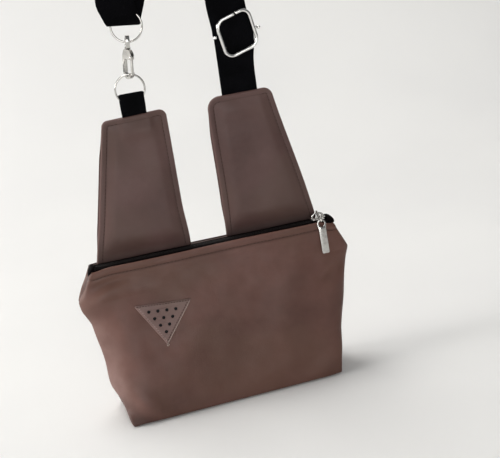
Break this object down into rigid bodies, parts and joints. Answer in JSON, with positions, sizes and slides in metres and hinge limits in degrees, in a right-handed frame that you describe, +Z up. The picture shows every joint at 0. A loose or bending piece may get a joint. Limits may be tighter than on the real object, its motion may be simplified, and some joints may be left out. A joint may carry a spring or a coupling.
{
  "type": "crossbody bag",
  "caption": "Small zipped leather crossbody bag hung from two tapered leather wings on a webbing strap with a ring, swivel clasp and wire buckle.",
  "frame": {"origin": "middle of the base, on the plane that the base stands on", "axes": "+Z up along the strap, -Y the front with the patch and the zip pull, +X to the viewer's right"},
  "size_m": [0.235, 0.056, 0.6405],
  "materials": {
    "leather": "matte",
    "patch_leather": "matte",
    "lining": "matte",
    "zip_fabric": "matte",
    "zip_coil": "satin",
    "webbing": "matte",
    "nickel": "polished"
  },
  "bodies": {
    "harness": {"wing_left_front": "leather", "wing_left_back": "leather", "wing_right_front": "leather", "wing_right_back": "leather", "ring_tab": "webbing", "strap_outer": "webbing", "strap_inner": "webbing", "strap_return": "webbing", "strap_fold": "webbing"},
    "pouch": {"front_panel": "leather", "back_panel": "leather", "lining_front": "lining", "lining_back": "lining", "zip_tape_front": "zip_fabric", "zip_tape_back": "zip_fabric", "zip_coil_front": "zip_coil", "zip_coil_back": "zip_coil", "zip_end_left": "zip_fabric", "zip_end_right": "zip_fabric", "patch": "patch_leather", "wing_root_left": "leather", "wing_root_right": "leather"},
    "slider": {"zip_slider": "nickel"},
    "link": {"pull_link": "nickel"},
    "pull": {"pull_tab": "nickel"},
    "ring_low": {"lower_ring": "nickel"},
    "ring_high": {"upper_ring": "nickel", "swivel_eye": "nickel"},
    "clasp": {"clasp_body": "nickel", "clasp_pin": "nickel"},
    "gate": {"clasp_gate": "nickel"},
    "buckle": {"buckle_frame": "nickel", "buckle_bar": "nickel", "buckle_loop": "webbing"}
  },
  "joints": [
    {"name": "pouch_fold", "type": "hinge", "parent": "harness", "child": "pouch", "pos_m": [0, 0.00845, 0.1387], "axis": [1, 0, 0], "range_deg": [-20, 90], "stiffness_Nm_per_rad": 0.25, "springref_deg": -2.86},
    {"name": "zip_slide", "type": "slide", "parent": "pouch", "child": "slider", "axis": [-1, 0, 0], "range_m": [0, 0.188], "deforming": ["zip_coil_front", "zip_coil_back"]},
    {"name": "link_swing", "type": "hinge", "parent": "slider", "child": "link", "pos_m": [0.094, 0, 0.143], "axis": [-1, 0, 0], "range_deg": [0, 60]},
    {"name": "pull_swing", "type": "hinge", "parent": "link", "child": "pull", "pos_m": [0.094, -0.01, 0.1395], "axis": [-1, 0, 0], "range_deg": [0, 90]},
    {"name": "clasp_sway", "type": "hinge", "parent": "harness", "child": "ring_high", "pos_m": [-0.03965, 0.00845, 0.3287], "axis": [1, 0, 0], "range_deg": [-2.5, 2.5]},
    {"name": "lower_ring_swing", "type": "hinge", "parent": "harness", "child": "ring_low", "pos_m": [-0.04515, 0.00845, 0.2706], "axis": [1, 0, 0], "range_deg": [-6.4, 6.4]},
    {"name": "clasp_swivel", "type": "hinge", "parent": "ring_high", "child": "clasp", "pos_m": [-0.04384, 0.00845, 0.28708], "axis": [0.1109, 0, 0.9938], "range_deg": [-56, 12]},
    {"name": "clasp_gate", "type": "hinge", "parent": "clasp", "child": "gate", "pos_m": [-0.0402, 0.00448, 0.30066], "axis": [0.8775, 0.4695, -0.0979], "range_deg": [0, 18], "stiffness_Nm_per_rad": 0.002, "springref_deg": -17.19},
    {"name": "buckle_slide", "type": "slide", "parent": "harness", "child": "buckle", "axis": [0, 0, 1], "range_m": [0, 0.1], "deforming": ["strap_return"]}
  ],
  "couplings": [
    {"joint": "lower_ring_swing", "follows": "clasp_sway", "ratio": -2.528}
  ]
}
